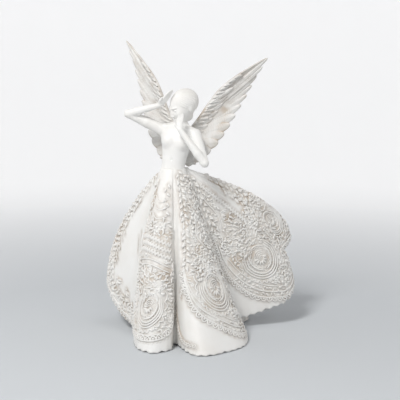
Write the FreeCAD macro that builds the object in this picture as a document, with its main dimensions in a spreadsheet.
import FreeCAD, Part
import math
import os
import Sketcher
from FreeCAD import Vector, Rotation, Placement

# Cast resin angel, about 240 mm tall, standing on a felt pad.
# X runs to her left, Y runs away from the front of the skirt, Z is up.
# The origin is on the ground, straight below the middle of the waist.

doc = FreeCAD.newDocument("Angel")
sheet = doc.addObject("Spreadsheet::Sheet", "Sizes")
rowCount = 0


def put(name, value):
    """Write one size in the sheet and give it its name."""
    global rowCount
    rowCount += 1
    sheet.set("A%d" % rowCount, name)
    sheet.set("B%d" % rowCount, str(value))
    sheet.setAlias("B%d" % rowCount, name)


sizes = [
    ("waist_height", 137.0),
    ("waist_half_width", 9.6),
    ("waist_half_depth", 7.6),
    ("skirt_wall", 3.0),
    ("hem_clearance", 0.4),
    ("layer_gap", 0.6),
    ("core_drop", 1.5),
    ("felt_radius", 28.0),
    ("felt_thickness", 1.2),
    ("felt_middle_x", 10.0),
    ("felt_middle_y", 16.0),
    ("fit_gap", 0.05),
    ("dowel_radius", 2.5),
    ("dowel_length", 38.0),
    ("dowel_bottom", 112.0),
    ("body_lean", 9.0),
    ("body_turn", -15.0),
    ("seam_side", 12.5),
    ("shoulder_side", 13.8),
    ("shoulder_up", 28.5),
    ("shoulder_radius", 4.7),
    ("upper_arm_radius", 4.4),
    ("elbow_radius", 3.1),
    ("wrist_radius", 2.1),
    ("palm_half_width", 3.0),
    ("palm_half_thickness", 1.5),
    ("palm_half_length", 4.4),
    ("finger_base_radius", 0.95),
    ("finger_tip_radius", 0.6),
    ("finger_length", 6.6),
    ("thumb_length", 5.4),
    ("breast_radius", 5.6),
    ("neck_top", 44.0),
    ("neck_top_radius", 3.7),
    ("head_half_width", 9.4),
    ("head_half_depth", 11.8),
    ("head_half_height", 10.8),
    ("jaw_half_width", 7.2),
    ("jaw_half_depth", 7.8),
    ("jaw_half_height", 10.2),
    ("head_turn", -45.0),
    ("head_bow", 32.0),
    ("pin_radius", 0.8),
    ("pin_length", 8.0),
    ("neck_pin_length", 12.0),
    ("wing_root_thickness", 4.2),
    ("wing_edge_thickness", 1.7),
    ("wing_tip_thickness", 1.6),
]
for name, value in sizes:
    put(name, value)

# Hem of the skirt, walked round from the front: bearing in degrees from +X,
# reach from the waist axis, height above the ground, swell of the cloth.
skirtFolds = [
    (-86, 30, 1, 0.7),
    (-77, 54, 0, -0.05),
    (-68, 65.5, 0, -0.2),
    (-50, 65.5, 0, -0.2),
    (-32, 66, 0, -0.22),
    (-13, 62, 0, -0.2),
    (3, 56, 1.5, 0),
    (14, 47, 5, 0.35),
    (19, 64, 9, 0.6),
    (16, 86, 16, 0.8),
    (18, 102, 21, 0.9),
    (22, 110, 32, 0.9),
    (25.5, 106, 46, 0.9),
    (28, 103, 56, 0.9),
    (30, 112, 62, 0.95),
    (33, 120, 68, 1.0),
    (39, 117, 62, 1.0),
    (46, 98, 44, 0.9),
    (54, 100, 26, 0.85),
    (62, 96, 12, 0.8),
    (69, 80, 5, 0.6),
    (79, 88, 0, 0.6),
    (91, 91, 0, 0.6),
    (102, 82, 0, 0.6),
    (109, 66, 3, 0.65),
    (118, 77, 8, 0.85),
    (130, 82, 22, 1.0),
    (140, 76, 30, 1.0),
    (147, 64, 21, 1.0),
    (153, 50, 10, 0.95),
    (164, 38, 6, 0.85),
    (180, 33, 3, 0.8),
    (200, 33.5, 0, 0.78),
    (222, 41, 0, 0.7),
    (240, 51, 0, 0.5),
    (255, 55, 0, 0.25),
    (269, 45, 0, 0.35),
]

# Foot of the petticoat core inside the skirt: bearing, reach, height, swell.
coreFolds = [
    (-80, 19, 0, 0.1),
    (-50, 42, 0, -0.35),
    (-20, 46, 0, -0.35),
    (7, 36, 0, -0.05),
    (18, 43, 0, -0.05),
    (36, 79, 0, 0.35),
    (52, 76, 0, 0.35),
    (69, 64, 0, 0.3),
    (90, 70, 0, 0.3),
    (109, 54, 0, 0.35),
    (128, 58, 0, 0.5),
    (146, 43, 0, 0.5),
    (170, 26, 0, 0.4),
    (200, 25, 0, 0.45),
    (232, 33, 0, 0.35),
    (254, 36, 0, 0.1),
]

# Body sections, lowest first: height up the body, half width, half depth,
# sideways shift, backward shift.
bodySections = [
    (-3.0, 9.9, 7.8, 0.0, 0.0),
    (3.0, 9.3, 7.3, 0.0, 0.0),
    (9.0, 9.9, 7.5, 0.0, 0.0),
    (15.0, 11.3, 8.0, 0.0, -0.2),
    (21.0, 12.9, 8.1, 0.0, -0.2),
    (26.0, 14.4, 7.4, 0.0, 0.2),
    (30.0, 13.6, 6.3, 0.1, 0.6),
    (33.0, 9.0, 5.4, 0.5, 0.8),
    (35.5, 5.6, 4.7, 1.0, 0.6),
    (38.0, 4.2, 4.2, 1.4, 0.4),
    (41.0, 3.8, 3.8, 1.8, 0.2),
    (44.0, 3.7, 3.7, 2.2, 0.0),
]

# Wing outline, lowest first: height up the body, inner edge (side, back),
# outer edge (side, back). Every second row is a feather tip.
wingSections = [
    (2.6, 8.6, 11.4, 10.4, 11.8),
    (5.0, 6.0, 11.1, 14.9, 12.4),
    (8.0, 4.4, 11.0, 16.6, 12.8),
    (11.0, 3.8, 11.0, 21.6, 13.6),
    (14.0, 3.5, 11.0, 21.4, 13.6),
    (17.5, 3.4, 11.0, 24.4, 14.4),
    (20.5, 3.4, 11.0, 24.2, 14.4),
    (24.5, 3.5, 11.0, 28.0, 15.4),
    (28.0, 4.0, 11.0, 28.2, 15.6),
    (32.0, 6.2, 10.6, 30.6, 16.2),
    (37.0, 9.4, 9.8, 30.4, 16.2),
    (42.0, 12.5, 9.0, 33.6, 16.8),
    (48.0, 16.0, 8.0, 34.2, 16.8),
    (54.0, 18.8, 7.2, 37.8, 17.4),
    (60.0, 21.7, 6.7, 38.6, 17.4),
    (66.0, 25.8, 6.5, 42.0, 17.6),
    (72.0, 30.0, 6.6, 42.9, 17.2),
    (78.0, 36.2, 7.0, 46.0, 16.8),
    (84.0, 41.8, 8.0, 48.0, 15.6),
    (91.0, 49.4, 10.0, 52.6, 13.8),
    (97.8, 56.0, 12.2, 57.0, 12.8),
]

# Joints of the arms on the body axes: side, back, up.
armJoints = {
    "right_elbow": (-40.6, -9.3, 36.6),
    "right_wrist": (-15.2, -11.8, 47.2),
    "right_knuckle": (-12.0, -12.4, 52.2),
    "right_finger": (-10.0, -13.0, 60.0),
    "left_elbow": (28.8, -14.6, 9.0),
    "left_wrist": (6.2, -18.2, 31.4),
    "left_knuckle": (4.2, -16.2, 37.6),
    "left_finger": (3.4, -12.2, 43.4),
}

for tableName, table, columns in (
    ("fold", skirtFolds, ("bearing", "reach", "lift", "swell")),
    ("core", coreFolds, ("bearing", "reach", "lift", "swell")),
    ("body", bodySections, ("up", "half_width", "half_depth", "side", "back")),
    ("wing", wingSections, ("up", "inner_side", "inner_back", "outer_side", "outer_back")),
):
    for number, row in enumerate(table, 1):
        for column, value in zip(columns, row):
            put("%s_%d_%s" % (tableName, number, column), value)
for name, joint in armJoints.items():
    for column, value in zip(("side", "back", "up"), joint):
        put("%s_%s" % (name, column), value)
doc.recompute()


def size(name):
    """Read one size back from the sheet."""
    return float(sheet.get(name))


def tableRows(tableName, count, columns):
    """Read one table back from the sheet."""
    return [[size("%s_%d_%s" % (tableName, n, c)) for c in columns] for n in range(1, count + 1)]


def bind(thing, **rules):
    """Tie properties of a part to cells of the sheet."""
    for prop, rule in rules.items():
        thing.setExpression(prop, rule)


# The body leans to her left and turns a little to her right.
bodyTurn = Rotation(Vector(0, 0, 1), size("body_turn"))
bodyLean = Rotation(Vector(0, 1, 0), size("body_lean"))
bodyFrame = Placement(Vector(0, 0, size("waist_height")), bodyLean.multiply(bodyTurn))


def onBody(side, back, up):
    """A point given on the body axes, in the row's own axes."""
    return bodyFrame.multVec(Vector(side, back, up))


def between(start, end):
    """Placement that stands a part at start and points its Z at end."""
    return Placement(start, Rotation(Vector(0, 0, 1), end.sub(start)))


# ---- skirt and petticoat core -------------------------------------------

def smoothLoop(rows, steps):
    """Pass a smooth closed loop through rows of numbers."""
    loop = []
    count = len(rows)
    for i in range(count):
        a, b, c, d = (rows[(i + k - 1) % count] for k in range(4))
        for step in range(steps):
            u = step / steps
            point = []
            for j in range(len(b)):
                low = 2 * b[j] + (c[j] - a[j]) * u
                high = (2 * a[j] - 5 * b[j] + 4 * c[j] - d[j]) * u * u
                top = (3 * b[j] - a[j] - 3 * c[j] + d[j]) * u ** 3
                point.append(0.5 * (low + high + top))
            loop.append(point)
    return loop


def drape(folds, halfWidth, halfDepth, top, foot, levels, steps):
    """Rings of points of a cloth hanging from the waist to a folded hem."""
    hem = []
    for bearing, reach, lift, swell in folds:
        angle = math.radians(bearing)
        hem.append((reach * math.cos(angle), reach * math.sin(angle), lift, swell))
    rings = []
    loop = smoothLoop(hem, steps)
    for level in range(levels + 1):
        down = level / levels
        ring = []
        for x, y, z, swell in loop:
            angle = math.atan2(y, x)
            out = down + swell * down * (1 - down)
            low = max(z, 0) + foot
            startX = halfWidth * math.cos(angle)
            startY = halfDepth * math.sin(angle)
            here = Vector(startX + (x - startX) * out, startY + (y - startY) * out, 0)
            here.z = top + (low - top) * down
            ring.append(here)
        rings.append(ring)
    return rings


def inward(rings, wall):
    """The same cloth one wall further in; its two rims stay level."""
    last = len(rings) - 1
    result = []
    for level, ring in enumerate(rings):
        above = rings[max(level - 1, 0)]
        below = rings[min(level + 1, last)]
        inner = []
        for i, point in enumerate(ring):
            along = ring[(i + 1) % len(ring)].sub(ring[i - 1])
            down = below[i].sub(above[i])
            normal = down.cross(along)
            if level in (0, last):
                normal.z = 0
            normal.normalize()
            inner.append(point.sub(normal.multiply(wall)))
        result.append(inner)
    return result


def panels(surface, joints):
    """A closed surface as panels side by side, so no face has many folds."""
    first, last, low, high = surface.bounds()
    faces = []
    for number in range(joints):
        panel = surface.copy()
        start = first + (last - first) * number / joints
        end = first + (last - first) * (number + 1) / joints
        panel.segment(start, end, low, high)
        faces.append(panel.toShape())
    return faces


def closedWire(points):
    """Smooth closed wire with evenly spread parameters."""
    curve = Part.BSplineCurve()
    marks = [float(i) for i in range(len(points) + 1)]
    curve.interpolate(Points=points, PeriodicFlag=True, Parameters=marks)
    return Part.Wire([curve.toShape()])


def skirtSolid():
    rows = tableRows("fold", len(skirtFolds), ("bearing", "reach", "lift", "swell"))
    halfWidth, halfDepth = size("waist_half_width"), size("waist_half_depth")
    outer = drape(rows, halfWidth, halfDepth, size("waist_height"), size("hem_clearance"), 10, 3)
    inner = inward(outer, size("skirt_wall"))
    outerWires = [closedWire(ring) for ring in outer]
    innerWires = [closedWire(ring) for ring in inner]
    faces = []
    for wires in (outerWires, innerWires):
        faces += panels(Part.makeLoft(wires, False, False).Faces[0].Surface, len(rows))
    for end in (0, -1):
        rim = Part.makeRuledSurface(outerWires[end], innerWires[end]).Faces[0].Surface
        faces += panels(rim, len(rows))
    shell = Part.Shell(faces)
    shell.sewShape()
    solid = Part.makeSolid(shell)
    if solid.Volume < 0:
        solid.reverse()
    return solid


def coreSolid():
    rows = tableRows("core", len(coreFolds), ("bearing", "reach", "lift", "swell"))
    shrink = size("skirt_wall") + size("layer_gap")
    halfWidth = size("waist_half_width") - shrink
    halfDepth = size("waist_half_depth") - shrink
    top = size("waist_height") - size("core_drop")
    rings = drape(rows, halfWidth, halfDepth, top, size("felt_thickness") + size("fit_gap"), 8, 3)
    return Part.makeLoft([closedWire(ring) for ring in rings], True, False)


skirtShell = doc.addObject("Part::Feature", "SkirtShell")
skirtShell.Shape = skirtSolid()
coreBlank = doc.addObject("Part::Feature", "CoreBlank")
coreBlank.Shape = coreSolid()
underskirt = doc.addObject("Part::Cut", "Underskirt")


# ---- round parts ---------------------------------------------------------

def rod(name, radius, length, place):
    """A plain round rod whose radius and length are rules of the sheet."""
    part = doc.addObject("Part::Cylinder", name)
    bind(part, Radius=radius, Height=length)
    part.Placement = place
    return part


def ball(name, radius, centre):
    part = doc.addObject("Part::Sphere", name)
    bind(part, Radius=radius)
    part.Placement = Placement(centre, Rotation())
    return part


def taper(name, startRadius, endRadius, start, end):
    """A tapering limb from start to end."""
    part = doc.addObject("Part::Cone", name)
    bind(part, Radius1=startRadius, Radius2=endRadius)
    part.Height = end.sub(start).Length
    part.Placement = between(start, end)
    return part


def egg(name, thin, wide, tall, place):
    """An ellipsoid: thin along its X, wide along its Y, tall along its Z."""
    part = doc.addObject("Part::Ellipsoid", name)
    bind(part, Radius1=tall, Radius2=thin, Radius3=wide)
    part.Angle1 = -90
    part.Angle2 = 90
    part.Placement = place
    return part


def fused(name, parts):
    part = doc.addObject("Part::MultiFuse", name)
    part.Shapes = parts
    return part


def cut(name, base, tool):
    part = doc.addObject("Part::Cut", name)
    part.Base = base
    part.Tool = tool
    return part


dowelFoot = Placement(Vector(0, 0, size("dowel_bottom")), Rotation())
coreBore = rod("CoreBore", "Sizes.dowel_radius + Sizes.fit_gap", "Sizes.dowel_length", dowelFoot)
coreBore.Placement.Base.z -= size("fit_gap")
underskirt.Base = coreBlank
underskirt.Tool = coreBore

# Felt pad: a padded circle under the petticoat core.
feltBody = doc.addObject("PartDesign::Body", "FeltPad")
feltSketch = feltBody.newObject("Sketcher::SketchObject", "FeltOutline")
feltPlane = [o for o in feltBody.Origin.OriginFeatures if o.Role == "XY_Plane"][0]
feltSketch.AttachmentSupport = [(feltPlane, "")]
feltSketch.MapMode = "FlatFace"
feltMiddle = Vector(size("felt_middle_x"), size("felt_middle_y"), 0)
feltSketch.addGeometry(Part.Circle(feltMiddle, Vector(0, 0, 1), size("felt_radius")), False)
feltSketch.addConstraint(Sketcher.Constraint("Radius", 0, size("felt_radius")))
feltSketch.addConstraint(Sketcher.Constraint("DistanceX", -1, 1, 0, 3, feltMiddle.x))
feltSketch.addConstraint(Sketcher.Constraint("DistanceY", -1, 1, 0, 3, feltMiddle.y))
feltSketch.setExpression("Constraints[0]", "Sizes.felt_radius")
feltSketch.setExpression("Constraints[1]", "Sizes.felt_middle_x")
feltSketch.setExpression("Constraints[2]", "Sizes.felt_middle_y")
feltPad = feltBody.newObject("PartDesign::Pad", "FeltSheet")
feltPad.Profile = feltSketch
bind(feltPad, Length="Sizes.felt_thickness")

# Waist dowel: stands in the core and reaches up into the body.
waistDowel = rod("WaistDowel", "Sizes.dowel_radius", "Sizes.dowel_length", dowelFoot)


# ---- pins ----------------------------------------------------------------

def pinSpot(side, back, up, aim):
    """Foot of a pin on the body axes and the body direction it points in."""
    start = onBody(side, back, up)
    return between(start, bodyFrame.multVec(Vector(side, back, up).add(aim)))


halfPin = size("pin_length") / 2
wingPinSpots = []
armPinSpots = []
for side in (-1, 1):
    for up in (13.0, 26.0):
        wingPinSpots.append(pinSpot(side * 5.2, 4.2, up, Vector(0, 1, 0)))
    seam = size("seam_side")
    armPinSpots.append(pinSpot(side * (seam - halfPin), 0.2, size("shoulder_up") - 2.0, Vector(side, 0, 0)))
neckPinSpot = between(onBody(1.4, 0.3, 38.0), onBody(2.9, -0.3, 50.0))


def pinSet(name, spots, length, slack):
    """Equal pins at several spots, as one part; slack makes their bores."""
    pins = []
    for number, spot in enumerate(spots, 1):
        place = Placement(spot)
        place.Base = spot.multVec(Vector(0, 0, -slack))
        radius = "Sizes.pin_radius + %g" % slack
        pins.append(rod("%s%d" % (name, number), radius, length + " + %g" % (2 * slack), place))
    if len(pins) == 1:
        return pins[0]
    group = doc.addObject("Part::Compound", name)
    group.Links = pins
    return group


gap = size("fit_gap")
wingPins = pinSet("WingPins", wingPinSpots, "Sizes.pin_length", 0)
armPins = pinSet("ArmPins", armPinSpots, "Sizes.pin_length", 0)
neckPin = pinSet("NeckPin", [neckPinSpot], "Sizes.neck_pin_length", 0)


def bores(name):
    """The bores of every pin, for cutting out of the part around them."""
    tools = []
    for kind, spots in (("Wing", wingPinSpots), ("Arm", armPinSpots)):
        for number, spot in enumerate(spots, 1):
            place = Placement(spot)
            place.Base = spot.multVec(Vector(0, 0, -gap))
            title = "%s%sBore%d" % (name, kind, number)
            rule = "Sizes.pin_length + 2 * Sizes.fit_gap"
            tools.append(rod(title, "Sizes.pin_radius + Sizes.fit_gap", rule, place))
    place = Placement(neckPinSpot)
    place.Base = neckPinSpot.multVec(Vector(0, 0, -gap))
    rule = "Sizes.neck_pin_length + 2 * Sizes.fit_gap"
    tools.append(rod(name + "NeckBore", "Sizes.pin_radius + Sizes.fit_gap", rule, place))
    return tools


# ---- body ----------------------------------------------------------------

rings = []
for number in range(1, len(bodySections) + 1):
    ring = doc.addObject("Part::Ellipse", "BodyRing%d" % number)
    cells = "Sizes.body_%d" % number
    bind(ring, MajorRadius=cells + "_half_width", MinorRadius=cells + "_half_depth")
    side, back, up = (size("body_%d_%s" % (number, c)) for c in ("side", "back", "up"))
    ring.Placement = Placement(onBody(side, back, up), bodyFrame.Rotation)
    rings.append(ring)
trunk = doc.addObject("Part::Loft", "Trunk")
trunk.Sections = rings
trunk.Solid = True
trunk.Ruled = False
breasts = []
for number, side in enumerate((-5.6, 5.6), 1):
    breasts.append(ball("Breast%d" % number, "Sizes.breast_radius", onBody(side, -4.0, 20.8)))
bodyBlank = fused("BodyBlank", [trunk] + breasts)


def block(name, low, high, frame):
    """A plain block between two corners given on the frame's axes."""
    part = doc.addObject("Part::Box", name)
    part.Length = high[0] - low[0]
    part.Width = high[1] - low[1]
    part.Height = high[2] - low[2]
    part.Placement = frame.multiply(Placement(Vector(*low), Rotation()))
    return part


seam = size("seam_side")
waist = size("waist_height")
belowWaist = block("BelowWaist", (-20, -20, waist - 20), (20, 20, waist + gap), Placement())
rightOfSeam = block("RightOfSeam", (-30, -12, 16), (-seam, 12, 44), bodyFrame)
leftOfSeam = block("LeftOfSeam", (seam, -12, 16), (30, 12, 44), bodyFrame)
dowelHole = rod("DowelHole", "Sizes.dowel_radius + Sizes.fit_gap",
                "Sizes.dowel_length + Sizes.fit_gap", dowelFoot)
torsoTools = fused("TorsoTools", [belowWaist, rightOfSeam, leftOfSeam, dowelHole] + bores("Torso"))
torso = cut("Torso", bodyBlank, torsoTools)


# ---- head ----------------------------------------------------------------

headMiddle = onBody(1.4, -0.6, 50.6)
headTurn = bodyFrame.Rotation.multiply(Rotation(Vector(0, 0, 1), size("head_turn")))
headBow = headTurn.multiply(Rotation(Vector(1, 0, 0), size("head_bow")))
headFrame = Placement(headMiddle, headBow)
skullPlace = headFrame.multiply(Placement(Vector(0, 1.2, 1.2), Rotation()))
jawPlace = headFrame.multiply(Placement(Vector(0, -3.2, -2.0), Rotation()))
skull = egg("Skull", "Sizes.head_half_width", "Sizes.head_half_depth", "Sizes.head_half_height", skullPlace)
jaw = egg("Jaw", "Sizes.jaw_half_width", "Sizes.jaw_half_depth", "Sizes.jaw_half_height", jawPlace)
headBlank = fused("HeadBlank", [skull, jaw])
neckSocket = taper("NeckSocket", "Sizes.neck_top_radius + 0.8",
                   "Sizes.neck_top_radius + 3 * Sizes.fit_gap",
                   onBody(1.3, 0.45, 37.5), onBody(2.3, -0.05, 44.7))
headTools = fused("HeadTools", [neckSocket] + bores("Head"))
head = cut("Head", headBlank, headTools)


# ---- arms ----------------------------------------------------------------

def jointPoint(name):
    return onBody(size(name + "_side"), size(name + "_back"), size(name + "_up"))


def armPart(side, sign, spread):
    """One arm from the shoulder seam to the finger tips."""
    title = side.capitalize()
    shoulder = onBody(sign * size("shoulder_side"), 0.2, size("shoulder_up"))
    elbow = jointPoint(side + "_elbow")
    wrist = jointPoint(side + "_wrist")
    knuckle = jointPoint(side + "_knuckle")
    tip = jointPoint(side + "_finger")
    palmWay = knuckle.sub(wrist).normalize()
    fingerWay = tip.sub(knuckle).normalize()
    across = spread.sub(palmWay * spread.dot(palmWay)).normalize()
    palmTurn = Rotation(palmWay.cross(across), across, palmWay, "ZYX")
    parts = [
        ball(title + "Shoulder", "Sizes.shoulder_radius", shoulder),
        taper(title + "UpperArm", "Sizes.upper_arm_radius", "Sizes.elbow_radius", shoulder, elbow),
        ball(title + "Elbow", "Sizes.elbow_radius", elbow),
        taper(title + "Forearm", "Sizes.elbow_radius", "Sizes.wrist_radius", elbow, wrist),
        ball(title + "Wrist", "Sizes.wrist_radius", wrist),
        egg(title + "Palm", "Sizes.palm_half_thickness", "Sizes.palm_half_width", "Sizes.palm_half_length",
            Placement((wrist + knuckle) * 0.5, palmTurn)),
    ]
    for number, shift in enumerate((-1.5, -0.5, 0.5, 1.5), 1):
        root = knuckle + across * (shift * 1.45) - palmWay * 0.9
        reach = size("finger_length") * (1.0 - 0.09 * abs(shift - 0.5))
        end = root + fingerWay * reach + across * (shift * 0.35)
        fingerName = "%sFinger%d" % (title, number)
        parts.append(taper(fingerName, "Sizes.finger_base_radius", "Sizes.finger_tip_radius", root, end))
        parts.append(ball(fingerName + "Tip", "Sizes.finger_tip_radius", end))
    thumbRoot = wrist + palmWay * 2.4 - across * 2.0
    thumbEnd = thumbRoot + (fingerWay - across * 0.7).normalize() * size("thumb_length")
    parts.append(taper(title + "Thumb", "Sizes.finger_base_radius", "Sizes.finger_tip_radius",
                       thumbRoot, thumbEnd))
    parts.append(ball(title + "ThumbTip", "Sizes.finger_tip_radius", thumbEnd))
    blank = fused(title + "ArmBlank", parts)
    inner, outer = sorted((sign * (seam - 14), sign * (seam + gap)))
    inBody = block(title + "InBody", (inner, -11, 16), (outer, 11, 44), bodyFrame)
    tools = fused(title + "ArmTools", [inBody] + bores(title + "Arm"))
    return cut(title + "Arm", blank, tools)


rightArm = armPart("right", -1, bodyFrame.Rotation.multVec(Vector(0.25, 1, 0)))
leftArm = armPart("left", 1, bodyFrame.Rotation.multVec(Vector(1, 0.35, 0.2)))


# ---- wings ---------------------------------------------------------------

def wingPart(side, sign):
    """One wing, lofted upward through thin closed sections."""
    columns = ("up", "inner_side", "inner_back", "outer_side", "outer_back")
    rows = tableRows("wing", len(wingSections), columns)
    wires = []
    for up, innerSide, innerBack, outerSide, outerBack in rows:
        span = math.hypot(outerSide - innerSide, outerBack - innerBack)
        alongX = (outerSide - innerSide) / span
        alongY = (outerBack - innerBack) / span
        climb = min(max((up - 30.0) / 30.0, 0.0), 1.0)
        root = size("wing_root_thickness") * (1 - climb) + 2.6 * climb
        fade = min(1.0, span / 7.0)
        nose = max(root * fade, size("wing_tip_thickness") * 0.75)
        rim = max(size("wing_edge_thickness") * fade, size("wing_tip_thickness") * 0.6)
        front = [(0.12, nose * 0.42), (0.3, nose * 0.5), (0.62, (nose + rim) * 0.27), (0.9, rim * 0.5)]
        back = [(t, h) for t, h in reversed(front)]
        loop = [(0.0, 0.0)] + [(t, -h) for t, h in front] + [(1.0, 0.0)] + back
        points = []
        for t, h in loop:
            x = innerSide + alongX * span * t - alongY * h
            y = innerBack + alongY * span * t + alongX * h
            points.append(onBody(sign * x, y, up))
        wires.append(closedWire(points))
    blank = doc.addObject("Part::Feature", side.capitalize() + "WingBlank")
    blank.Shape = Part.makeLoft(wires, True, True)
    tools = fused(side.capitalize() + "WingTools", bores(side.capitalize() + "Wing"))
    return cut(side.capitalize() + "Wing", blank, tools)


rightWing = wingPart("right", -1)
leftWing = wingPart("left", 1)


# ---- names and files ------------------------------------------------------

pieces = {
    "felt_pad": feltBody,
    "underskirt": underskirt,
    "skirt_shell": skirtShell,
    "waist_dowel": waistDowel,
    "torso": torso,
    "head": head,
    "right_arm": rightArm,
    "left_arm": leftArm,
    "right_wing": rightWing,
    "left_wing": leftWing,
    "neck_pin": neckPin,
    "arm_pins": armPins,
    "wing_pins": wingPins,
}
for label, piece in pieces.items():
    piece.Label = label
doc.recompute()

for thing in doc.Objects:
    if "Invalid" in thing.State or "Error" in thing.State:
        raise RuntimeError("%s did not build: %s" % (thing.Name, thing.State))
os.makedirs("parts", exist_ok=True)
for label, piece in pieces.items():
    shape = piece.Shape
    if shape.isNull() or not shape.isValid():
        raise RuntimeError(label + " is not a sound shape")
    shape.exportStep("parts/%s.step" % label)
    box = shape.BoundBox
    print("%-12s solids %d volume %8.0f  x %6.1f %6.1f  y %6.1f %6.1f  z %6.1f %6.1f" % (
        label, len(shape.Solids), shape.Volume, box.XMin, box.XMax, box.YMin, box.YMax, box.ZMin, box.ZMax))
